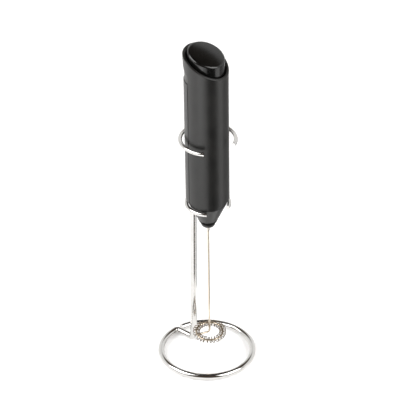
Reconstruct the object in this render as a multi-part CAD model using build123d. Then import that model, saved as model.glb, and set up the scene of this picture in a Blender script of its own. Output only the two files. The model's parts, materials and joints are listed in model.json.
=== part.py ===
from build123d import *
import os
from math import asin, atan2, cos, degrees, hypot, radians, sin, sqrt

# Battery milk frother standing nose down in its wire stand.
# Millimetres, +Z up. The origin is the centre of the base ring on the table.
# The stand's clips open towards -Y and its post stands at +Y.
# Frother parts are drawn about their own axis, with their front at -Y, and then put in place.

os.makedirs("parts", exist_ok=True)

# ---------------------------------------------------------------- stand
ring_outer_d = 66.0           # base ring, outside
base_wire_d = 4.5             # one wire: ring, leg and post
ring_end_gap = 0.6            # between the ring's cut end and the leg
ring_corner_r = 2.7           # bend from the ring into the leg
leg_slant_deg = 17.0          # the leg leans to the left of straight back
foot_bend_r = 2.9             # bend from the leg up into the post
clip_wire_d = 2.8
lower_clip_r = 14.2           # to the wire's centre
upper_clip_r = 18.3
upper_clip_z = 174.6
upper_clip_end_deg = 41.0     # left arm's end, from the front
lower_clip_end_deg = 36.0
clip_end_right_deg = 34.0     # both right arms' ends
weld_sink = 0.15              # how far a clip wire sinks into the post

# ---------------------------------------------------------------- handle
axis_forward = 1.0            # frother axis, in front of the ring's centre
frother_drop = 1.7            # frother parts are drawn this much above where they stand
lean_deg = 0.62               # the frother leans a little in its clips
lean_axis_deg = -123.0        # direction of the level line it leans about
handle_turn_deg = 30.0        # the frother's front, turned from the stand's front
tube_bottom_z = 130.2
tube_bottom_r = 14.45
waist_z = 226.0               # the head flares above it
waist_r = 14.72
flare_top_z = 247.0
flare_top_r = 15.6
wall = 1.45
rim_mid_z = 236.8             # slanted rim, measured on the axis
rim_slope_deg = 27.2
rim_hollow_r = 94.0           # the rim is hollowed a little from side to side
rim_inner_chamfer = 0.9
rim_outer_round = 0.6
neck_r = 12.75                # opening that the button slides in
head_bore_r = 13.4            # wider bore under the neck
head_bore_bottom_z = 221.5
neck_bottom_z = 226.5
seat_top_z = 134.5            # narrower bore below it, where the nose is pressed in
scoop_z = 227.0               # shallow scoop behind the head, for the thumb that slides the cover
scoop_r = 14.1                # from the axis to the scoop's deepest point
scoop_round = 40.0
scoop_shift = 1.3             # the scoop's centre lies this far forward, so it fades out towards the front

# ---------------------------------------------------------------- battery cover
cover_half_deg = 62.0         # half of the opening behind the handle
cover_gap = 0.3
cover_inner_r = 13.15
cover_top_z = 225.3           # top of the opening
cover_proud = 0.2
cover_edge_chamfer = 0.5      # down the sides
cover_top_round = 0.9
hook_height = 5.0
hook_inner_r = 11.7
hook_outer_r = 12.6
hook_reach_deg = 72.0         # the hooks go this far behind the shell's edges
hook_root_deg = 55.0
hook_zs = (168.0, 196.0)

# ---------------------------------------------------------------- nose
nose_neck_r = 12.85
nose_spigot_top_z = 134.2
nose_cavity_r = 11.3
nose_floor_z = 114.0
pad_ledge_z = 124.2
pad_ledge_r = 8.5
nose_tip_z = 111.5            # lower face of the cone
nose_tip_r = 5.9
nose_wall = 1.6
nose_seat_gap = 0.36          # between the cone and the lower clip
bush_stem_r = 2.85
bush_groove_r = 3.75
bush_top_r = 5.0
bush_bottom_r = 2.3
bush_shoulder_z = 110.2
bush_bottom_z = 106.6
seal_r = 4.35
seal_d = 1.2

# ---------------------------------------------------------------- motor
motor_r = 10.2
motor_flat = 7.7              # half the width across the flats
motor_bottom_z = 125.6
motor_top_z = 150.6
can_wall = 0.7
end_cap_height = 2.6
boss_r = 3.05
boss_height = 1.6
motor_shaft_r = 1.0
motor_shaft_top_z = 149.8
shaft_end_gap = 0.3
running_clearance = 0.05
magnet_inner_r = 7.2
magnet_half_deg = 42.0
magnet_z = (127.6, 142.6)
core_z = (129.0, 141.0)
core_r = 6.5
core_slot_width = 1.6
core_window_r = 5.6           # the windings' windows lie between these radii
core_window_inner_r = 2.6
core_window_deg = 84.0
winding_r = 5.4
winding_end = 1.4             # end turns stand this far out of the core
commutator_r = 2.2
commutator_z = (143.4, 147.0)
commutator_slit = 0.4
brush_width = 1.8
brush_length = 3.2
brush_height = 2.4
terminal_x = 2.5
terminal_width = 2.0
terminal_thickness = 0.6
terminal_y = -5.0             # front face
terminal_top_z = 153.8
sleeve_z = (137.0, 146.0)
pad_inner_r = 3.6
pad_outer_r = 9.6

# ---------------------------------------------------------------- chassis and cells
chassis_r = 12.6
chassis_wall = 1.2
bay_bottom_z = 158.5
bay_top_z = 207.5
end_plate = 4.0
tray_rear_y = 1.2             # the bay is open behind this
channel_width = 8.0           # for the lead wires, down the front
channel_y = -8.5
cell_r = 5.2
cell_x = 6.1
cell_bore_r = 5.5
cell_can_length = 43.5
cell_nub_r = 1.9
cell_nub_height = 0.8
contact_size = 7.6
contact_thickness = 0.3
cell_edge_round = 0.6
battery_spring_r = 3.2
battery_spring_wire_d = 0.6
battery_spring_turns = 3

# ---------------------------------------------------------------- switch and button
switch_width = 13.5
switch_depth = 12.4
switch_height = 6.0
plunger_clearance = 0.1
plunger_floor_gap = 0.3
switch_ear_length = 22.0
switch_ear_width = 5.0
switch_ear_thickness = 1.2
switch_screw_x = 8.9
screw_shank_r = 0.9
screw_head_r = 1.7
screw_head_height = 1.1
screw_length = 3.2
screw_slot_width = 0.5
plunger_r = 3.0
plunger_height = 4.6
plunger_stands_out = 2.8
plunger_edge_round = 0.4
button_travel = 1.8
button_r = 12.35
button_wall = 1.4
button_mid_z = 244.0          # button's top face, measured on the axis
button_slope_deg = 19.0
button_dome_r = 75.0          # the top face is slightly domed
button_edge_round = 1.7
button_roof = 2.6             # thickness under the middle of the dome
button_flange_r = 13.1
button_flange_height = 1.8
button_flange_gap = 0.3
button_stem_r = 2.6
button_spring_seat_z = 233.0
button_spring_r = 5.6
button_spring_wire_d = 0.7
button_spring_turns = 6
button_spring_gap = 0.05
stem_gap = 0.3

# ---------------------------------------------------------------- whisk
shaft_wire_d = 1.4
shaft_bend_r = 1.8
ferrule_r = 1.1
ferrule_bottom_z = 103.4
ferrule_top_z = 112.6
coupling_r = 2.6
coupling_bottom_z = 114.4
coupling_top_z = 122.8
coupling_split_z = 118.6      # whisk wire below it, motor shaft above it
whisk_z = 19.8
hoop_r = 8.9
whisk_tilt_deg = 5.0          # the hoop is bent a little off square
whisk_tilt_axis_deg = -33.0   # direction of the line it tilts about
spoke_deg = 168.0             # where the spoke meets the hoop
coil_r = 2.1                  # coil around the hoop, to its wire's centre
coil_wire_d = 0.5
coil_turns = 35
coil_gap_deg = 13.0           # left free for the spoke
coil_lean_deg = 6.7           # each turn leans along the hoop

# ---------------------------------------------------------------- lead wires
lead_d = 1.0
lead_bend_r = 2.0
lead_y = -10.2
lead_top_z = 214.5
lead_bottom_z = 152.4

# ---------------------------------------------------------------- derived
base_wire_r = base_wire_d / 2
clip_wire_r = clip_wire_d / 2
ring_r = (ring_outer_d - base_wire_d) / 2
post_y = lower_clip_r + clip_wire_r + base_wire_r - weld_sink - axis_forward
cone_slope = (tube_bottom_r - nose_tip_r) / (tube_bottom_z - nose_tip_z)
cone_angle = atan2(tube_bottom_r - nose_tip_r, tube_bottom_z - nose_tip_z)
nose_neck_z = nose_tip_z + (nose_neck_r - nose_tip_r) / cone_slope
seat_offset = clip_wire_r + nose_seat_gap
seat_height = ((lower_clip_r - nose_tip_r) * cos(cone_angle) - seat_offset) / sin(cone_angle)
lower_clip_z = nose_tip_z + seat_height - frother_drop
shell_bore_r = tube_bottom_r - wall
cover_side_deg = cover_half_deg - degrees(cover_gap / cover_inner_r)
nose_wall_across = nose_wall / cos(cone_angle)
core_bottom_z, core_top_z = core_z
switch_z = bay_top_z + end_plate
plunger_top_z = switch_z + switch_height + plunger_stands_out
bridge_top_z = bay_bottom_z + contact_thickness
contact_bottom_z = bay_top_z - contact_thickness
battery_spring_height = contact_bottom_z - bridge_top_z - cell_can_length - cell_nub_height
shaft_wire_r = shaft_wire_d / 2
FAR = 80.0                    # reaches past everything it cuts
BASE = (Align.CENTER, Align.CENTER, Align.MIN)


# ---------------------------------------------------------------- helpers
def rod(radius, z0, z1, x=0.0, y=0.0):
    """Upright solid cylinder."""
    return Pos(x, y, z0) * Cylinder(radius, z1 - z0, align=BASE)


def ring(outer_r, inner_r, z0, z1):
    """Upright tube."""
    return rod(outer_r, z0, z1) - rod(inner_r, z0 - 1, z1 + 1)


def block(dx, dy, z0, z1, x=0.0, y=0.0):
    """Upright box, centred on x and y."""
    return Pos(x, y, z0) * Box(dx, dy, z1 - z0, align=BASE)


def turned(points):
    """Solid of revolution about Z from (radius, z) points."""
    outline = make_face(Polyline([(r, 0, z) for r, z in points], close=True))
    return revolve(outline, Axis.Z)


def above(mid_z, slope_deg):
    """Everything above a plane that crosses the axis at mid_z and is low at the front."""
    return Pos(0, 0, mid_z) * Rot(slope_deg, 0, 0) * Box(FAR, FAR, FAR, align=BASE)


def rear_sector(half_deg, z0, z1):
    """Wedge behind the axis, half_deg to each side of +Y."""
    x = FAR * sin(radians(half_deg))
    y = FAR * cos(radians(half_deg))
    outline = make_face(Polyline((0, 0), (x, y), (x, FAR), (-x, FAR), (-x, y), close=True))
    return Pos(0, 0, z0) * extrude(outline, z1 - z0)


def wire_along(path, radius):
    """Round wire along a path."""
    section = Plane(origin=path @ 0, z_dir=path % 0) * Circle(radius)
    return sweep(section, path=path)


def coil_spring(radius, wire_d, z0, z1, turns):
    """Helical spring whose wire just fits between z0 and z1."""
    height = z1 - z0 - wire_d
    path = Helix(pitch=height / turns, height=height, radius=radius)
    section = Plane(origin=path @ 0, z_dir=path % 0) * Circle(wire_d / 2)
    return Pos(0, 0, z0 + wire_d / 2) * sweep(section, path=path)


# ---------------------------------------------------------------- placement
clip_place = Pos(0, -axis_forward, 0)
lean = Rot(0, 0, lean_axis_deg) * Rot(lean_deg, 0, 0) * Rot(0, 0, -lean_axis_deg)
axis_place = clip_place * Pos(0, 0, lower_clip_z) * lean * Pos(0, 0, -lower_clip_z - frother_drop)
frother_place = axis_place * Rot(0, 0, handle_turn_deg)
whisk_tilt = Rot(0, 0, whisk_tilt_axis_deg) * Rot(whisk_tilt_deg, 0, 0) * Rot(0, 0, -whisk_tilt_axis_deg)


# ---------------------------------------------------------------- stand parts
def make_clip(radius, z, end_left_deg):
    """C-shaped wire clip around the frother's axis, open at the front."""
    swept_deg = 360 - end_left_deg - clip_end_right_deg
    arc = CenterArc((0, 0, z), radius, clip_end_right_deg - 90, swept_deg)
    return clip_place * wire_along(arc, clip_wire_r)


def make_stand_wire(clips):
    """Base ring, leg and post, bent from one wire."""
    slant = radians(leg_slant_deg)
    back = cos(slant) * post_y
    beside = ring_corner_r ** 2 + post_y ** 2 - 2 * ring_corner_r * post_y * sin(slant)
    leg_length = sqrt(back ** 2 - beside + (ring_r - ring_corner_r) ** 2) - back
    leg_end_x = -leg_length * sin(slant)
    leg_end_y = post_y + leg_length * cos(slant)
    corner_x = leg_end_x - ring_corner_r * cos(slant)
    corner_y = leg_end_y - ring_corner_r * sin(slant)
    corner_deg = degrees(atan2(corner_y, corner_x))
    ring_end_x = leg_end_x + (base_wire_r + ring_end_gap) / cos(slant)
    end_deg = 450 - degrees(asin(ring_end_x / ring_r))
    post_top_z = upper_clip_z - clip_wire_r + weld_sink
    foot_top = (0, post_y, base_wire_r + foot_bend_r)
    leg_start = (-foot_bend_r * sin(slant), post_y + foot_bend_r * cos(slant), base_wire_r)
    corner = (corner_x, corner_y, base_wire_r)
    route = [
        Line((0, post_y, post_top_z), foot_top),
        TangentArc(foot_top, leg_start, tangent=(0, 0, -1)),
        Line(leg_start, (leg_end_x, leg_end_y, base_wire_r)),
        CenterArc(corner, ring_corner_r, leg_slant_deg, corner_deg - leg_slant_deg),
        CenterArc((0, 0, base_wire_r), ring_r, corner_deg, end_deg - corner_deg),
    ]
    wire = wire_along(Wire(route), base_wire_r)
    for clip in clips:
        wire = wire - clip
    return wire


# ---------------------------------------------------------------- handle parts
def handle_solid(extra=0.0):
    """The handle's outside as one solid, grown by extra."""
    return turned([
        (0, tube_bottom_z),
        (tube_bottom_r + extra, tube_bottom_z),
        (waist_r + extra, waist_z),
        (flare_top_r + extra, flare_top_z),
        (0, flare_top_z),
    ])


def make_handle_shell():
    """Tube with a flared, slanted head and an opening behind for the cells."""
    scoop = Pos(0, -scoop_shift, scoop_z) * Torus(scoop_r + scoop_shift + scoop_round, scoop_round)
    hollow = Pos(0, 0, rim_mid_z) * Rot(rim_slope_deg, 0, 0) * Pos(0, 0, rim_hollow_r) * Rot(90, 0, 0)
    shell = handle_solid() - scoop - hollow * Cylinder(rim_hollow_r, 2 * FAR)
    shell -= rod(nose_neck_r, tube_bottom_z - 1, seat_top_z)
    shell -= rod(shell_bore_r, seat_top_z, head_bore_bottom_z)
    shell -= rod(head_bore_r, head_bore_bottom_z, neck_bottom_z)
    shell -= rod(neck_r, neck_bottom_z, flare_top_z)
    inner_edge, outer_edge = rim_edges(shell)
    shell = chamfer(inner_edge, rim_inner_chamfer)
    inner_edge, outer_edge = rim_edges(shell)
    shell = fillet(outer_edge, rim_outer_round)
    return shell - rear_sector(cover_half_deg, tube_bottom_z - 1, cover_top_z)


def rim_edges(shell):
    """Inner and outer edge of the hollowed face around the slanted rim."""
    faces = [face for face in shell.faces() if face.geom_type == GeomType.CYLINDER]
    rim = max(faces, key=lambda face: face.radius)
    edges = sorted(rim.edges(), key=lambda edge: edge.length)
    return edges[0], edges[-1]


def make_battery_cover():
    """Curved cover over the cells, with hooks that snap behind the shell's edges."""
    top_z = cover_top_z - cover_gap
    cover = handle_solid(cover_proud) & rear_sector(cover_side_deg, tube_bottom_z, top_z)
    cover = fillet([edge for edge in outer_edges(cover) if edge.center().Z > top_z - 1], cover_top_round)
    cover = chamfer([edge for edge in outer_edges(cover) if is_upright(edge)], cover_edge_chamfer)
    cover -= rod(cover_inner_r, tube_bottom_z - 1, head_bore_bottom_z)
    cover -= rod(head_bore_r, head_bore_bottom_z - 1, cover_top_z)
    for hook_z in hook_zs:
        cover += make_hook_pair(hook_z)
    return cover


def outer_edges(solid):
    """Edges that lie on the outside of the handle."""
    return [edge for edge in solid.edges() if hypot((edge @ 0.5).X, (edge @ 0.5).Y) > tube_bottom_r]


def is_upright(edge):
    """True for an edge that runs up the handle."""
    return abs((edge % 0.5).Z) > 0.9


def make_hook_pair(z):
    """One snap hook at each side of the cover."""
    z1 = z + hook_height
    fingers = ring(hook_outer_r, hook_inner_r, z, z1) & rear_sector(hook_reach_deg, z, z1)
    fingers -= rear_sector(hook_root_deg, z - 1, z1 + 1)
    roots = ring(cover_inner_r + wall / 2, hook_inner_r, z, z1) & rear_sector(cover_side_deg, z, z1)
    roots -= rear_sector(hook_root_deg, z - 1, z1 + 1)
    return fingers + roots


# ---------------------------------------------------------------- nose parts
def cone_r(z):
    """Radius of the nose's outside."""
    return nose_tip_r + cone_slope * (z - nose_tip_z)


def make_nose_cone():
    """Hollow cone with a spigot that is pressed into the handle."""
    nose = turned([
        (0, nose_tip_z),
        (nose_tip_r, nose_tip_z),
        (nose_neck_r, nose_neck_z),
        (nose_neck_r, nose_spigot_top_z),
        (0, nose_spigot_top_z),
    ])
    ledge_side_z = nose_tip_z + (pad_ledge_r + nose_wall_across - nose_tip_r) / cone_slope
    cavity_side_z = nose_tip_z + (nose_cavity_r + nose_wall_across - nose_tip_r) / cone_slope
    cavity = turned([
        (0, nose_floor_z),
        (cone_r(nose_floor_z) - nose_wall_across, nose_floor_z),
        (pad_ledge_r, ledge_side_z),
        (pad_ledge_r, pad_ledge_z),
        (cone_r(pad_ledge_z) - nose_wall_across, pad_ledge_z),
        (nose_cavity_r, cavity_side_z),
        (nose_cavity_r, nose_spigot_top_z + 1),
        (0, nose_spigot_top_z + 1),
    ])
    return nose - cavity - rod(bush_stem_r, nose_tip_z - 1, nose_floor_z + 1)


def make_nose_bush():
    """Small cone at the tip; the ferrule runs in its bore."""
    bush = turned([
        (0, bush_bottom_z),
        (bush_bottom_r, bush_bottom_z),
        (bush_top_r, bush_shoulder_z),
        (bush_groove_r, bush_shoulder_z),
        (bush_groove_r, nose_tip_z),
        (bush_stem_r, nose_tip_z),
        (bush_stem_r, nose_floor_z),
        (0, nose_floor_z),
    ])
    return bush - rod(ferrule_r + running_clearance, bush_bottom_z - 1, nose_floor_z + 1)


def make_seal_ring():
    """Rubber ring in the groove between bush and cone."""
    return Pos(0, 0, (bush_shoulder_z + nose_tip_z) / 2) * Torus(seal_r, seal_d / 2)


# ---------------------------------------------------------------- motor parts
def motor_outline(inset, z0, z1):
    """The motor's round body with two flats, made smaller by inset."""
    flats = block(2 * (motor_flat - inset), FAR, z0, z1)
    return rod(motor_r - inset, z0, z1) & flats


def make_motor_can():
    can_top_z = motor_top_z - end_cap_height
    can = motor_outline(0, motor_bottom_z, can_top_z)
    can -= motor_outline(can_wall, motor_bottom_z + can_wall, can_top_z + 1)
    can += rod(boss_r, motor_bottom_z - boss_height, motor_bottom_z)
    bore_r = motor_shaft_r + running_clearance
    return can - rod(bore_r, motor_bottom_z - boss_height - 1, motor_bottom_z + can_wall + 1)


def make_motor_end_cap(terminals):
    """Plastic end of the motor, with a blind bearing for the shaft."""
    cap_bottom_z = motor_top_z - end_cap_height
    cap = motor_outline(0, cap_bottom_z, motor_top_z)
    bearing_top_z = motor_shaft_top_z + shaft_end_gap
    cap -= rod(motor_shaft_r + running_clearance, cap_bottom_z - 1, bearing_top_z)
    return cap - terminals


def make_motor_magnets():
    """Two arc magnets in the round sides of the can."""
    z0, z1 = magnet_z
    arc = ring(motor_r - can_wall, magnet_inner_r, z0, z1) & rear_sector(magnet_half_deg, z0, z1)
    return arc + Rot(0, 0, 180) * arc


def make_armature_core():
    """Three-pole iron core with windows for the windings."""
    core = ring(core_r, motor_shaft_r, core_bottom_z, core_top_z)
    window = ring(core_window_r, core_window_inner_r, core_bottom_z, core_top_z)
    window &= rear_sector(core_window_deg / 2, core_bottom_z, core_top_z)
    slot = block(core_slot_width, core_r, core_bottom_z, core_top_z, y=core_window_inner_r + core_r / 2)
    for pole in range(3):
        core -= Rot(0, 0, 120 * pole) * (window + slot)
    return core


def make_windings(core):
    """Copper in the core's windows and its end turns above and below."""
    copper = ring(winding_r, core_window_inner_r, core_bottom_z - winding_end, core_top_z + winding_end)
    return copper - core


def make_commutator():
    """Three copper segments on the shaft."""
    z0, z1 = commutator_z
    commutator = ring(commutator_r, motor_shaft_r, z0, z1)
    slit = block(commutator_slit, commutator_r, z1 - brush_height, z1, y=commutator_r)
    for segment in range(3):
        commutator -= Rot(0, 0, 120 * segment) * slit
    return commutator


def make_motor_brushes():
    """Two blocks that ride on the commutator."""
    z0 = commutator_z[0] + (commutator_z[1] - commutator_z[0] - brush_height) / 2
    span = 2 * (commutator_r + brush_length)
    brushes = block(span, brush_width, z0, z0 + brush_height)
    return brushes - rod(commutator_r + running_clearance, z0 - 1, z0 + brush_height + 1)


def make_motor_terminals():
    """Two tabs through the end cap that the lead wires are soldered to."""
    tabs = Part()
    for x in (-terminal_x, terminal_x):
        tabs += block(terminal_width, terminal_thickness, motor_top_z - end_cap_height, terminal_top_z,
                      x=x, y=terminal_y + terminal_thickness / 2)
    return tabs


def make_motor_sleeve():
    """Rubber sleeve between the motor and the chassis."""
    z0, z1 = sleeve_z
    return rod(chassis_r - chassis_wall, z0, z1) - motor_outline(0, z0 - 1, z1 + 1)


# ---------------------------------------------------------------- chassis parts
def make_chassis(fitted):
    """Skirt over the motor, tray for two cells and plate for the switch, cut to take the fitted pieces."""
    plate_bottom_z = bay_bottom_z - end_plate
    chassis = rod(chassis_r, nose_spigot_top_z, switch_z)
    chassis -= rod(chassis_r - chassis_wall, nose_spigot_top_z - 1, plate_bottom_z)
    for x in (-cell_x, cell_x):
        chassis -= rod(cell_bore_r, bay_bottom_z, bay_top_z, x=x)
    chassis -= block(FAR, FAR, bay_bottom_z, bay_top_z, y=tray_rear_y + FAR / 2)
    chassis -= block(channel_width, FAR, plate_bottom_z - 1, switch_z + 1, y=channel_y - FAR / 2)
    for piece in fitted:
        chassis -= piece
    return chassis


def make_cell(x, z0, nub_up):
    """One AAA cell standing on z0, nub up or nub down."""
    can_z = z0 if nub_up else z0 + cell_nub_height
    nub_z = z0 + cell_can_length if nub_up else z0
    can = fillet(rod(cell_r, can_z, can_z + cell_can_length, x=x).edges(), cell_edge_round)
    return can + rod(cell_nub_r, nub_z, nub_z + cell_nub_height, x=x)


def make_bridge_plate():
    """Joins the two cells at the bottom of the bay."""
    return block(2 * cell_x + contact_size, contact_size, bay_bottom_z, bridge_top_z)


def make_contact_plates():
    """Two separate contacts at the top of the bay."""
    plates = Part()
    for x in (-cell_x, cell_x):
        plates += block(contact_size, contact_size, contact_bottom_z, bay_top_z, x=x)
    return plates


def make_battery_springs():
    """One spring at each cell's flat end."""
    low = coil_spring(battery_spring_r, battery_spring_wire_d, bridge_top_z,
                      bridge_top_z + battery_spring_height, battery_spring_turns)
    high = coil_spring(battery_spring_r, battery_spring_wire_d, contact_bottom_z - battery_spring_height,
                       contact_bottom_z, battery_spring_turns)
    return Pos(-cell_x, 0, 0) * low + Pos(cell_x, 0, 0) * high


# ---------------------------------------------------------------- switch and button parts
def make_switch_body(screws):
    top_z = switch_z + switch_height
    body = block(switch_width, switch_depth, switch_z, top_z)
    body += block(switch_ear_length, switch_ear_width, switch_z, switch_z + switch_ear_thickness)
    plunger_bottom_z = plunger_top_z - plunger_height
    pocket_z = plunger_bottom_z - button_travel - plunger_floor_gap
    body -= rod(plunger_r + plunger_clearance, pocket_z, top_z + 1)
    return body - screws


def make_switch_screws():
    screws = Part()
    head_z = switch_z + switch_ear_thickness
    for x in (-switch_screw_x, switch_screw_x):
        head = rod(screw_head_r, head_z, head_z + screw_head_height, x=x)
        head -= block(2 * screw_head_r, screw_slot_width, head_z + screw_head_height / 2, head_z + 2, x=x)
        screws += head + rod(screw_shank_r, head_z - screw_length, head_z, x=x)
    return screws


def make_plunger():
    plunger = rod(plunger_r, plunger_top_z - plunger_height, plunger_top_z)
    return fillet(plunger.edges().sort_by(Axis.Z)[-1], plunger_edge_round)


def make_button_cap():
    """Slanted, slightly domed button with a flange that stops it under the handle's neck."""
    flange_top_z = neck_bottom_z - button_flange_gap
    flange_bottom_z = flange_top_z - button_flange_height
    dome_place = Pos(0, 0, button_mid_z) * Rot(button_slope_deg, 0, 0) * Pos(0, 0, -button_dome_r)
    dome = dome_place * Rot(90, 0, 0) * Sphere(button_dome_r)
    cap = rod(button_r, flange_bottom_z, flange_top_z + FAR / 2) & dome
    top_face = [face for face in cap.faces() if face.geom_type == GeomType.SPHERE][0]
    cap = fillet(top_face.edges(), button_edge_round)
    cap += rod(button_flange_r, flange_bottom_z, flange_top_z)
    under_roof_z = button_mid_z - button_roof / cos(radians(button_slope_deg))
    roof = above(under_roof_z, button_slope_deg)
    cap -= rod(button_r - button_wall, flange_bottom_z - 1, flange_top_z + FAR / 2) - roof
    stem = rod(button_stem_r, plunger_top_z + stem_gap, button_mid_z)
    seat = ring(button_spring_r + button_wall, button_spring_r - button_wall, button_spring_seat_z,
                flange_top_z + FAR / 2)
    return cap + (stem + seat - roof)


def make_button_spring():
    return coil_spring(button_spring_r, button_spring_wire_d, switch_z + switch_height,
                       button_spring_seat_z - button_spring_gap, button_spring_turns)


def make_lead_wires():
    """Two wires from the switch down the chassis channel to the motor's terminals."""
    leads = Part()
    for x in (-terminal_x, terminal_x):
        route = FilletPolyline(
            (x, -switch_depth / 2, lead_top_z),
            (x, lead_y, lead_top_z),
            (x, lead_y, lead_bottom_z),
            (x, terminal_y, lead_bottom_z),
            radius=lead_bend_r,
        )
        leads += wire_along(route, lead_d / 2)
    return leads


# ---------------------------------------------------------------- whisk parts
def make_whisk_wire():
    """Shaft, spoke and hoop of the whisk."""
    hoop_place = Pos(0, 0, whisk_z) * whisk_tilt
    spoke_end = hoop_place * Pos(hoop_r * cos(radians(spoke_deg)), hoop_r * sin(radians(spoke_deg)), 0)
    route = FilletPolyline((0, 0, coupling_split_z), (0, 0, whisk_z), spoke_end.position, radius=shaft_bend_r)
    return wire_along(route, shaft_wire_r) + hoop_place * Torus(hoop_r, shaft_wire_r)


def make_whisk_coil():
    """Open turns around the hoop, each drawn as one leaning ring."""
    turn = Pos(hoop_r, 0, 0) * Rot(90 + coil_lean_deg, 0, 0) * Torus(coil_r, coil_wire_d / 2)
    step_deg = (360 - coil_gap_deg) / coil_turns
    first_deg = spoke_deg + (coil_gap_deg + step_deg) / 2
    turns = [Rot(0, 0, first_deg + step_deg * number) * turn for number in range(coil_turns)]
    return Pos(0, 0, whisk_z) * whisk_tilt * Compound(children=turns)


def make_shaft_coupling():
    """Sleeve that joins the whisk's shaft to the motor's."""
    coupling = rod(coupling_r, coupling_bottom_z, coupling_top_z)
    coupling -= rod(shaft_wire_r, coupling_bottom_z - 1, coupling_split_z)
    return coupling - rod(motor_shaft_r, coupling_split_z, coupling_top_z + 1)


# ---------------------------------------------------------------- build and write
upper_clip = make_clip(upper_clip_r, upper_clip_z, upper_clip_end_deg)
lower_clip = make_clip(lower_clip_r, lower_clip_z, lower_clip_end_deg)
motor_terminals = make_motor_terminals()
switch_screws = make_switch_screws()
bridge_plate = make_bridge_plate()
armature_core = make_armature_core()

stand_parts = {
    "stand_wire": make_stand_wire([upper_clip, lower_clip]),
    "upper_clip": upper_clip,
    "lower_clip": lower_clip,
}
frother_parts = {
    "handle_shell": make_handle_shell(),
    "battery_cover": make_battery_cover(),
    "nose_cone": make_nose_cone(),
    "nose_bush": make_nose_bush(),
    "seal_ring": make_seal_ring(),
    "motor_can": make_motor_can(),
    "motor_end_cap": make_motor_end_cap(motor_terminals),
    "motor_magnets": make_motor_magnets(),
    "motor_brushes": make_motor_brushes(),
    "motor_terminals": motor_terminals,
    "motor_sleeve": make_motor_sleeve(),
    "motor_pad": ring(pad_outer_r, pad_inner_r, pad_ledge_z, motor_bottom_z),
    "chassis": make_chassis([switch_screws, bridge_plate]),
    "cell_left": make_cell(-cell_x, bridge_top_z + battery_spring_height, True),
    "cell_right": make_cell(cell_x, bridge_top_z, False),
    "bridge_plate": bridge_plate,
    "contact_plates": make_contact_plates(),
    "battery_springs": make_battery_springs(),
    "switch_body": make_switch_body(switch_screws),
    "switch_screws": switch_screws,
    "switch_plunger": make_plunger(),
    "button_cap": make_button_cap(),
    "button_spring": make_button_spring(),
    "lead_wires": make_lead_wires(),
}
whisk_parts = {
    "motor_shaft": rod(motor_shaft_r, coupling_split_z, motor_shaft_top_z),
    "armature_core": armature_core,
    "armature_windings": make_windings(armature_core),
    "commutator": make_commutator(),
    "shaft_coupling": make_shaft_coupling(),
    "shaft_ferrule": ring(ferrule_r, shaft_wire_r, ferrule_bottom_z, ferrule_top_z),
    "whisk_wire": make_whisk_wire(),
    "whisk_coil": make_whisk_coil(),
}

placings = ((Pos(0, 0, 0), stand_parts), (frother_place, frother_parts), (axis_place, whisk_parts))
for placing, parts in placings:
    for name, part in parts.items():
        export_step(placing * part, f"parts/{name}.step")
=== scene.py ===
import json
import random
from math import cos, pi, radians, sin

import bpy
from mathutils import Matrix, Vector


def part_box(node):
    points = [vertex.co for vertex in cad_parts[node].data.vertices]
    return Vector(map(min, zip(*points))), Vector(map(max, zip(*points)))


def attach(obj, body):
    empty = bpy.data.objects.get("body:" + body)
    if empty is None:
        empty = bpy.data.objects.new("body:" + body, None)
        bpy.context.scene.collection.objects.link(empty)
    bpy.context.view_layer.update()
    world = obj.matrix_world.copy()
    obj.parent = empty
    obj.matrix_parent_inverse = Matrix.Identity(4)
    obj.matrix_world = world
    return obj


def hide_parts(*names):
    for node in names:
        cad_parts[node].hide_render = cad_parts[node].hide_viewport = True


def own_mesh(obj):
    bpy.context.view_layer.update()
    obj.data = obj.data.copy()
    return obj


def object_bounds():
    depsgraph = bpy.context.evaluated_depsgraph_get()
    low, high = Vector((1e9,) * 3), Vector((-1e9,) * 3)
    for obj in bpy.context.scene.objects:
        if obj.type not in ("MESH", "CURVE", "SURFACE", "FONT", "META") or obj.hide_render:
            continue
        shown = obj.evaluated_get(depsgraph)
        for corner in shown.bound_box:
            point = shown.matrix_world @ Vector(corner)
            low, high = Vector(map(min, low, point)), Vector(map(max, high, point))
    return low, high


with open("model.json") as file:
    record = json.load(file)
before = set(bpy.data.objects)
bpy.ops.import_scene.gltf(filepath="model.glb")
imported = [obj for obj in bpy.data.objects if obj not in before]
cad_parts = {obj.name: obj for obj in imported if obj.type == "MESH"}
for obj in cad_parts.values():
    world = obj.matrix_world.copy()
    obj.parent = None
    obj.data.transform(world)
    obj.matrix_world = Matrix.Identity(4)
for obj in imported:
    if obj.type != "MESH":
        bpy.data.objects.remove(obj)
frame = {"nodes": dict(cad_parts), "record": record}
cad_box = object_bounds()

MM = 0.001
nodes = frame["nodes"]
record = frame["record"]
scene = bpy.context.scene

# ---------------------------------------------------------------- places taken from the frame
coil_low, coil_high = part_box("whisk_coil")
coil_centre = (Vector(coil_low) + Vector(coil_high)) / 2


# ---------------------------------------------------------------- node helpers
def new_material(name, colour, roughness, metallic=0.0):
    """A material with its shader, and the node tree to add detail to."""
    material = bpy.data.materials.new(name)
    material.use_nodes = True
    shader = material.node_tree.nodes["Principled BSDF"]
    shader.inputs["Base Color"].default_value = (*colour, 1.0)
    shader.inputs["Roughness"].default_value = roughness
    shader.inputs["Metallic"].default_value = metallic
    return material, material.node_tree, shader


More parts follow.
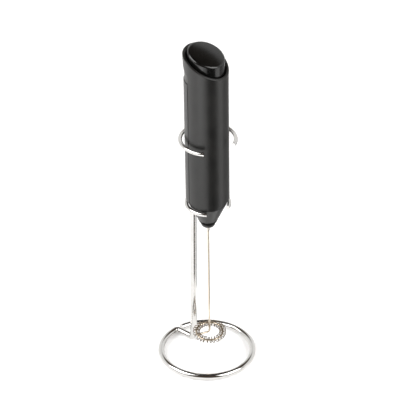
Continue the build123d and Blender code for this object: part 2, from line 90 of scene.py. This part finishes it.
def add_noise(tree, scale, detail, stretch=(1.0, 1.0, 1.0)):
    """Noise in object space; its height runs from 0 to 1."""
    place = tree.nodes.new("ShaderNodeTexCoord")
    mapping = tree.nodes.new("ShaderNodeMapping")
    mapping.inputs["Scale"].default_value = stretch
    noise = tree.nodes.new("ShaderNodeTexNoise")
    noise.inputs["Scale"].default_value = scale
    noise.inputs["Detail"].default_value = detail
    tree.links.new(place.outputs["Object"], mapping.inputs["Vector"])
    tree.links.new(mapping.outputs["Vector"], noise.inputs["Vector"])
    return noise.outputs["Fac"]


def add_tone(tree, shader, value, dark, light, dark_at=0.3, light_at=0.7):
    """Base colour that goes from dark to light as value goes from dark_at to light_at."""
    ramp = tree.nodes.new("ShaderNodeValToRGB")
    for element, place, colour in zip(ramp.color_ramp.elements, (dark_at, light_at), (dark, light)):
        element.position = place
        element.color = (*colour, 1.0)
    tree.links.new(value, ramp.inputs["Fac"])
    tree.links.new(ramp.outputs["Color"], shader.inputs["Base Color"])


def add_gloss(tree, shader, value, low, high):
    """Roughness from low to high as value goes from 0 to 1."""
    span = tree.nodes.new("ShaderNodeMapRange")
    span.inputs["To Min"].default_value = low
    span.inputs["To Max"].default_value = high
    tree.links.new(value, span.inputs["Value"])
    tree.links.new(span.outputs["Result"], shader.inputs["Roughness"])


def add_bump(tree, shader, height, strength, distance):
    """Relief of the surface's normals only, with distance in metres."""
    bump = tree.nodes.new("ShaderNodeBump")
    bump.inputs["Strength"].default_value = strength
    bump.inputs["Distance"].default_value = distance
    tree.links.new(height, bump.inputs["Height"])
    tree.links.new(bump.outputs["Normal"], shader.inputs["Normal"])


# ---------------------------------------------------------------- materials
GRAIN_DEPTH = 0.05 * MM
MARK_DEPTH = 0.03 * MM
DRAWN_STRETCH = (1.0, 1.0, 0.05)
PLASTIC_GLOSS = (-0.04, 0.05)   # how far the roughness goes below and above its middle value
STEEL_GLOSS = (-0.06, 0.08)


def moulded_plastic(name, dark, light, roughness):
    """Moulded plastic: fine grain, and slow changes of tone and gloss from handling."""
    material, tree, shader = new_material(name, dark, roughness)
    handling = add_noise(tree, scale=90.0, detail=3.0)
    grain = add_noise(tree, scale=2600.0, detail=2.0)
    add_tone(tree, shader, handling, dark, light)
    add_gloss(tree, shader, handling, roughness + PLASTIC_GLOSS[0], roughness + PLASTIC_GLOSS[1])
    add_bump(tree, shader, grain, strength=0.25, distance=GRAIN_DEPTH)
    return material


def plated_wire(name):
    """Bright chrome plating with faint marks."""
    material, tree, shader = new_material(name, (0.72, 0.72, 0.72), roughness=0.06, metallic=1.0)
    cloud = add_noise(tree, scale=160.0, detail=3.0)
    marks = add_noise(tree, scale=1400.0, detail=2.0)
    add_tone(tree, shader, cloud, dark=(0.64, 0.63, 0.61), light=(0.70, 0.69, 0.68))
    add_gloss(tree, shader, cloud, low=0.09, high=0.17)
    add_bump(tree, shader, marks, strength=0.05, distance=MARK_DEPTH)
    return material


def drawn_steel(name, dark, light, roughness):
    """Metal with fine marks along its length."""
    material, tree, shader = new_material(name, light, roughness, metallic=1.0)
    marks = add_noise(tree, scale=1800.0, detail=3.0, stretch=DRAWN_STRETCH)
    add_tone(tree, shader, marks, dark, light)
    add_gloss(tree, shader, marks, roughness + STEEL_GLOSS[0], roughness + STEEL_GLOSS[1])
    add_bump(tree, shader, marks, strength=0.12, distance=MARK_DEPTH)
    return material


def soft_rubber(name):
    """Black rubber that hardly shines."""
    material, tree, shader = new_material(name, (0.004, 0.004, 0.004), roughness=0.7)
    shader.inputs["Specular IOR Level"].default_value = 0.05
    grain = add_noise(tree, scale=1500.0, detail=3.0)
    add_tone(tree, shader, grain, dark=(0.002, 0.002, 0.002), light=(0.006, 0.006, 0.006))
    add_gloss(tree, shader, grain, low=0.6, high=0.8)
    add_bump(tree, shader, grain, strength=0.3, distance=GRAIN_DEPTH)
    return material


# Slot: darkest colour, lightest colour and middle roughness.
PLASTICS = {
    "handle_plastic": ((0.007, 0.007, 0.0065), (0.012, 0.0115, 0.0105), 0.36),
    "button_plastic": ((0.002, 0.002, 0.002), (0.005, 0.005, 0.0045), 0.18),
    "ferrite": ((0.050, 0.050, 0.055), (0.080, 0.080, 0.085), 0.60),
    "motor_plastic": ((0.62, 0.61, 0.57), (0.72, 0.71, 0.67), 0.50),
    "inner_plastic": ((0.050, 0.050, 0.055), (0.075, 0.075, 0.080), 0.55),
    "cell_sleeve": ((0.10, 0.11, 0.13), (0.16, 0.17, 0.19), 0.35),
    "lead_insulation": ((0.30, 0.015, 0.015), (0.40, 0.025, 0.025), 0.50),
}
METALS = {
    "whisk_steel": ((0.56, 0.48, 0.38), (0.84, 0.76, 0.64), 0.20),
    # The whisk coil's dark brown steel colour is painted shade: dark reflections painted into the metal's
    # colour.
    "coil_steel_painted_dark": ((0.07, 0.048, 0.030), (0.25, 0.185, 0.12), 0.16),
    "steel": ((0.68, 0.64, 0.58), (0.84, 0.80, 0.74), 0.30),
    "plated_steel": ((0.60, 0.60, 0.58), (0.75, 0.75, 0.73), 0.22),
    "copper": ((0.55, 0.22, 0.11), (0.78, 0.38, 0.22), 0.28),
    "brass": ((0.60, 0.45, 0.20), (0.78, 0.62, 0.33), 0.28),
}


def make_materials():
    """One material for each of the record's slots, and a steel for the whisk's thin coil whose dark brown
    colour is painted shade.
    """
    materials = {"rubber": soft_rubber("rubber"), "chrome_wire": plated_wire("chrome_wire")}
    for name, (dark, light, roughness) in PLASTICS.items():
        materials[name] = moulded_plastic(name, dark, light, roughness)
    for name, (dark, light, roughness) in METALS.items():
        materials[name] = drawn_steel(name, dark, light, roughness)
    return materials


def dress_frame(materials):
    """Gives each CAD node the material of its slot."""
    for row in record["subparts"]:
        mesh = nodes[row["node"]].data
        mesh.materials.clear()
        mesh.materials.append(materials[row["material_slot"]])


# ---------------------------------------------------------------- shape helpers
FROTHER_LEAN = 0.62
FROTHER_LEAN_AXIS = -123.0
TUBE_BEVEL = 2
TURNED_SIDES = 96
SHARP_ANGLE = radians(35)


def level_turn(degrees, axis_degrees):
    """Rotation about a level line that points axis_degrees from +X."""
    line = Vector((cos(radians(axis_degrees)), sin(radians(axis_degrees)), 0))
    return Matrix.Rotation(radians(degrees), 4, line)


def add_object(name, data):
    """New object in the scene."""
    added = bpy.data.objects.new(name, data)
    scene.collection.objects.link(added)
    return added


def tube_from(name, points, radius, material):
    """Round tube mesh along points."""
    curve = bpy.data.curves.new(name, "CURVE")
    curve.dimensions = "3D"
    curve.bevel_depth = radius
    curve.bevel_resolution = TUBE_BEVEL
    curve.use_fill_caps = True
    spline = curve.splines.new("POLY")
    spline.points.add(len(points) - 1)
    for slot, point in zip(spline.points, points):
        slot.co = (*point, 1.0)
    route = add_object(name + "_route", curve)
    mesh = bpy.data.meshes.new_from_object(route.evaluated_get(bpy.context.evaluated_depsgraph_get()))
    bpy.data.objects.remove(route)
    mesh.name = name
    mesh.materials.clear()
    mesh.materials.append(material)
    mesh.shade_smooth()
    return add_object(name, mesh)


def turned_from(name, outline, centre, material):
    """Closed outline turned about the frother's leaning axis through centre."""
    lean = level_turn(FROTHER_LEAN, FROTHER_LEAN_AXIS)
    count = len(outline)
    corners = []
    faces = []
    for side in range(TURNED_SIDES):
        angle = 2 * pi * side / TURNED_SIDES
        here = side * count
        beside = (side + 1) % TURNED_SIDES * count
        for low, (radius, height) in enumerate(outline):
            high = (low + 1) % count
            corner = Vector((radius * cos(angle), radius * sin(angle), height)) * MM
            corners.append(centre + lean @ corner)
            faces.append((here + low, beside + low, beside + high, here + high))
    mesh = bpy.data.meshes.new(name)
    mesh.from_pydata(corners, [], faces)
    mesh.materials.append(material)
    mesh.shade_smooth()
    mesh.set_sharp_from_angle(angle=SHARP_ANGLE)
    return add_object(name, mesh)


# ---------------------------------------------------------------- whisk coil
WHISK_TILT = 5.0
WHISK_TILT_AXIS = -33.0
HOOP_R = 8.9 * MM
SPOKE = radians(168.0)          # where the spoke meets the hoop
COIL_GAP = radians(13.0)
COIL_R = 2.1 * MM
COIL_WIRE_R = 0.27 * MM
COIL_TURNS = 25
COIL_WANDER = radians(3.0)
COIL_GROW = 0.03
COIL_SEED = 7
STEPS_PER_TURN = 24


def coil_points():
    """Centre line of the coil around the hoop, with turns that differ a little in place and in reach."""
    chance = random.Random(COIL_SEED)
    wander = [chance.uniform(-COIL_WANDER, COIL_WANDER) for _ in range(COIL_TURNS + 2)]
    grow = [chance.uniform(-COIL_GROW, COIL_GROW) for _ in range(COIL_TURNS + 2)]
    tilt = level_turn(FROTHER_LEAN, FROTHER_LEAN_AXIS) @ level_turn(WHISK_TILT, WHISK_TILT_AXIS)
    turn_angle = (2 * pi - COIL_GAP) / COIL_TURNS
    points = []
    for step in range(COIL_TURNS * STEPS_PER_TURN + 1):
        turn = step / STEPS_PER_TURN
        whole = int(turn)
        part = turn - whole
        drift = wander[whole] * (1 - part) + wander[whole + 1] * part
        reach = COIL_R * (1 + grow[whole] * (1 - part) + grow[whole + 1] * part)
        around = SPOKE + COIL_GAP / 2 + turn_angle * turn + drift
        radius = HOOP_R + reach * cos(2 * pi * turn)
        rise = reach * sin(2 * pi * turn)
        points.append(coil_centre + tilt @ Vector((radius * cos(around), radius * sin(around), rise)))
    return points


def make_coil(materials):
    """The whisk's coil as one wire, in place of the CAD's separate rings."""
    # The coil wire's dark colour is painted shade.
    coil = tube_from("whisk_coil_wire", coil_points(), COIL_WIRE_R, materials["coil_steel_painted_dark"])
    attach(coil, "whisk")
    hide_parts("whisk_coil")


# ---------------------------------------------------------------- welds
WELD_BEAD_R = 0.5 * MM
WELD_BEAD_HALF = 1.1 * MM
WELD_OFFSET = 1.2 * MM
WELD_RISE = 0.35 * MM
WELD_WANDER = 0.1 * MM
WELD_SEED = 3
WELD_STEPS = 9


def make_bead(name, middle, along, materials, chance):
    """Short uneven bead on the stand, centred on middle and running along a unit vector."""
    points = []
    for step in range(WELD_STEPS):
        reach = WELD_BEAD_HALF * (2 * step / (WELD_STEPS - 1) - 1)
        wander = Vector([chance.uniform(-WELD_WANDER, WELD_WANDER) for _ in range(3)])
        points.append(middle + reach * along + wander)
    bead = tube_from(name, points, WELD_BEAD_R, materials["chrome_wire"])
    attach(bead, "stand")


def make_welds(materials):
    """Beads along the upper clip, on the post's end, and up both sides of the post at the lower clip."""
    chance = random.Random(WELD_SEED)
    low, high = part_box("upper_clip")
    clip_y = high[1] - (high[2] - low[2]) / 2
    for side, name in ((-1, "upper_clip_weld_inner"), (1, "upper_clip_weld_outer")):
        middle = Vector((0, clip_y + side * WELD_OFFSET, low[2] + WELD_RISE))
        make_bead(name, middle, Vector((1, 0, 0)), materials, chance)
    low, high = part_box("lower_clip")
    for side, name in ((-1, "lower_clip_weld_left"), (1, "lower_clip_weld_right")):
        middle = Vector((side * WELD_OFFSET, high[1], (low[2] + high[2]) / 2))
        make_bead(name, middle, Vector((0, 0, 1)), materials, chance)


# ---------------------------------------------------------------- nose tip
# Closed outlines as (radius, height above the seal ring's middle) in mm, anticlockwise.
BUSH_OUTLINE = [
    (1.3, -4.25), (2.0, -4.25), (2.9, -4.0), (3.9, -3.3), (4.6, -2.45), (4.9, -1.5), (5.0, -0.8),
    (3.75, -0.65), (3.75, 0.65), (2.85, 0.65), (2.85, 3.1), (1.3, 3.1),
]
BAND_OUTLINE = [
    (4.3, -0.75), (5.05, -0.75), (5.4, 0.0), (5.95, 0.6), (6.7, 2.05), (6.0, 2.05), (5.0, 0.65), (4.3, 0.65),
]


def make_nose_tip(materials):
    """Rounder bush at the tip, and a seal ring that shows as a dark band at the cone's end."""
    low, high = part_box("seal_ring")
    centre = (Vector(low) + Vector(high)) / 2
    bush = turned_from("nose_bush_rounded", BUSH_OUTLINE, centre, materials["handle_plastic"])
    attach(bush, "frother")
    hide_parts("nose_bush")
    band = turned_from("seal_band", BAND_OUTLINE, centre, materials["rubber"])
    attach(band, "frother")
    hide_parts("seal_ring")


# ---------------------------------------------------------------- button spring
def make_button_spring():
    """Copy of the button's spring, on the frother's body and with a mesh of its own."""
    spring = add_object("button_spring_coil", nodes["button_spring"].data.copy())
    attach(spring, "frother")
    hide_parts("button_spring")
    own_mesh(spring)


# ---------------------------------------------------------------- camera
CAMERA_AZIMUTH = -33.0
CAMERA_ELEVATION = 36.6
CAMERA_DISTANCE = 3.378
CAMERA_AIM = Vector((0, 0, 2.25 * MM))
CAMERA_YAW = -0.0133            # from the line to the aim, in degrees
CAMERA_PITCH = 34.98
SENSOR = 36.0
LENS = 432.7


def direction(azimuth, elevation):
    """Unit vector from the object towards a light or the camera."""
    a = radians(azimuth)
    e = radians(elevation)
    return Vector((sin(a) * cos(e), -cos(a) * cos(e), sin(e)))


def make_camera():
    """Long lens from the front left, looking down."""
    data = bpy.data.cameras.new("camera")
    data.lens = LENS
    data.sensor_width = SENSOR
    camera = add_object("camera", data)
    camera.location = CAMERA_AIM + CAMERA_DISTANCE * direction(CAMERA_AZIMUTH, CAMERA_ELEVATION)
    camera.rotation_euler = (radians(90 - CAMERA_PITCH), 0, radians(CAMERA_AZIMUTH + CAMERA_YAW))
    scene.camera = camera


# ---------------------------------------------------------------- floor, lights and painted reflections
FLOOR_SIZE = 8.0
FLOOR_GLOW = 0.25
PAPER_DARK = (0.93, 0.93, 0.93)
PAPER_LIGHT = (0.95, 0.95, 0.95)
WHITE = (1.0, 1.0, 1.0, 1.0)
LIGHT_DISTANCE = 1.2
SHEET_HEIGHT = 1 * MM
SHEET_FAR = 1.2


def add_sheet(name, corners, material):
    """Flat four-cornered sheet."""
    mesh = bpy.data.meshes.new(name)
    mesh.from_pydata(corners, [], [(0, 1, 2, 3)])
    mesh.materials.append(material)
    return add_object(name, mesh)


def make_floor():
    """Plain pale paper that glows a little, so that shadows on it stay faint."""
    material, tree, shader = new_material("floor_paper", PAPER_DARK, roughness=0.9)
    cloud = add_noise(tree, scale=3.0, detail=2.0)
    add_tone(tree, shader, cloud, PAPER_DARK, PAPER_LIGHT, dark_at=0.0, light_at=1.0)
    shader.inputs["Specular IOR Level"].default_value = 0.0
    shader.inputs["Emission Color"].default_value = WHITE
    shader.inputs["Emission Strength"].default_value = FLOOR_GLOW
    half = FLOOR_SIZE / 2
    corners = [(-half, -half, 0), (half, -half, 0), (half, half, 0), (-half, half, 0)]
    floor = add_sheet("floor", corners, material)


def add_softbox(name, azimuth, elevation, width, height, power):
    """Rectangular soft light aimed at the middle of the object; azimuth is counted from the camera's."""
    data = bpy.data.lights.new(name, "AREA")
    data.shape = "RECTANGLE"
    data.size = width
    data.size_y = height
    data.energy = power
    light = add_object(name, data)
    middle = (cad_box[0] + cad_box[1]) / 2
    away = direction(CAMERA_AZIMUTH + azimuth, elevation)
    light.location = middle + LIGHT_DISTANCE * away
    light.rotation_mode = "QUATERNION"
    light.rotation_quaternion = away.to_track_quat("Z", "Y")


def make_lights():
    """A soft box at each side."""
    add_softbox("left_box", azimuth=-72, elevation=40, width=1.0, height=1.0, power=15)
    add_softbox("right_box", azimuth=60, elevation=36, width=0.9, height=1.0, power=13.5)


def add_painted_reflection_sheet(name, glow, first, last, near):
    """Glowing sheet on the floor between two azimuths from the camera's; it shows only in reflections, as a
    painted reflection: painted shade where it is dark, a painted highlight where it is bright.
    """
    material, _, shader = new_material(name, (0.01, 0.01, 0.01), roughness=1.0)
    shader.inputs["Specular IOR Level"].default_value = 0.0
    shader.inputs["Emission Color"].default_value = WHITE
    shader.inputs["Emission Strength"].default_value = glow
    corners = []
    for azimuth, reach in ((first, near), (first, SHEET_FAR), (last, SHEET_FAR), (last, near)):
        away = direction(CAMERA_AZIMUTH + azimuth, 0)
        corners.append((away.x * reach, away.y * reach, SHEET_HEIGHT))
    sheet = add_sheet(name, corners, material)
    sheet.visible_camera = False
    sheet.visible_diffuse = False
    sheet.visible_shadow = False


def make_painted_reflections():
    """Dark sheet at the front right, grey one at the right and bright one at the front left: painted shade,
    a painted grey reflection and a painted highlight, seen only in reflections.
    """
    add_painted_reflection_sheet("painted_shade_sheet", glow=0.04, first=3, last=57, near=0.06)
    add_painted_reflection_sheet("painted_grey_reflection_sheet", glow=0.35, first=88, last=150, near=0.07)
    add_painted_reflection_sheet("painted_highlight_sheet", glow=2.6, first=-42, last=-16, near=0.27)


# ---------------------------------------------------------------- world
WALLS = (0.075, 0.055, 0.04)
CEILING = (0.02, 0.015, 0.012)
BACKDROP = (1.0, 1.0, 0.99)
BEYOND_FLOOR = (0.95, 0.95, 0.95)
# Each fade runs between two values of how far a ray points towards the camera's side, or up.
BACKDROP_SIDE_FADE = (0.25, -0.15)
BACKDROP_TOP_FADE = (0.58, 0.67)
CEILING_FADE = (0.75, 0.92)


def add_fade(tree, value, fade, start, end):
    """Smooth change from start to end as value goes through the fade."""
    span = tree.nodes.new("ShaderNodeMapRange")
    span.interpolation_type = "SMOOTHSTEP"
    span.inputs["From Min"].default_value = fade[0]
    span.inputs["From Max"].default_value = fade[1]
    span.inputs["To Min"].default_value = start
    span.inputs["To Max"].default_value = end
    tree.links.new(value, span.inputs["Value"])
    return span.outputs["Result"]


def add_facing(tree, towards):
    """How far a ray points towards a direction, from -1 to 1."""
    place = tree.nodes.new("ShaderNodeTexCoord")
    product = tree.nodes.new("ShaderNodeVectorMath")
    product.operation = "DOT_PRODUCT"
    product.inputs[1].default_value = towards
    tree.links.new(place.outputs["Generated"], product.inputs[0])
    return product.outputs["Value"]


def add_product(tree, first, second):
    """Product of two values."""
    product = tree.nodes.new("ShaderNodeMath")
    product.operation = "MULTIPLY"
    tree.links.new(first, product.inputs[0])
    tree.links.new(second, product.inputs[1])
    return product.outputs["Value"]


def add_background(tree, colour):
    """Even glow of one colour."""
    background = tree.nodes.new("ShaderNodeBackground")
    background.inputs["Color"].default_value = (*colour, 1)
    return background.outputs["Background"]


def add_mix(tree, amount, low, high):
    """The low shader where amount is 0, and the high one where it is 1."""
    mix = tree.nodes.new("ShaderNodeMixShader")
    tree.links.new(amount, mix.inputs["Fac"])
    tree.links.new(low, mix.inputs[1])
    tree.links.new(high, mix.inputs[2])
    return mix.outputs["Shader"]


def make_world():
    """A dark room with a white backdrop behind the object; pale where the camera sees past the floor."""
    world = bpy.data.worlds.new("studio")
    world.use_nodes = True
    tree = world.node_tree
    tree.nodes.clear()
    up = add_facing(tree, (0, 0, 1))
    towards_camera = add_facing(tree, direction(CAMERA_AZIMUTH, 0))
    behind = add_fade(tree, towards_camera, BACKDROP_SIDE_FADE, 0, 1)
    below_top = add_fade(tree, up, BACKDROP_TOP_FADE, 1, 0)
    overhead = add_fade(tree, up, CEILING_FADE, 0, 1)
    room = add_mix(tree, overhead, add_background(tree, WALLS), add_background(tree, CEILING))
    studio = add_mix(tree, add_product(tree, behind, below_top), room, add_background(tree, BACKDROP))
    ray = tree.nodes.new("ShaderNodeLightPath")
    seen = add_mix(tree, ray.outputs["Is Camera Ray"], studio, add_background(tree, BEYOND_FLOOR))
    surface = tree.nodes.new("ShaderNodeOutputWorld")
    tree.links.new(seen, surface.inputs["Surface"])
    scene.world = world


# ---------------------------------------------------------------- put together
materials = make_materials()
dress_frame(materials)
make_coil(materials)
make_welds(materials)
make_nose_tip(materials)
make_button_spring()
make_floor()
make_world()
make_lights()
make_painted_reflections()
make_camera()
scene.view_settings.view_transform = "Standard"
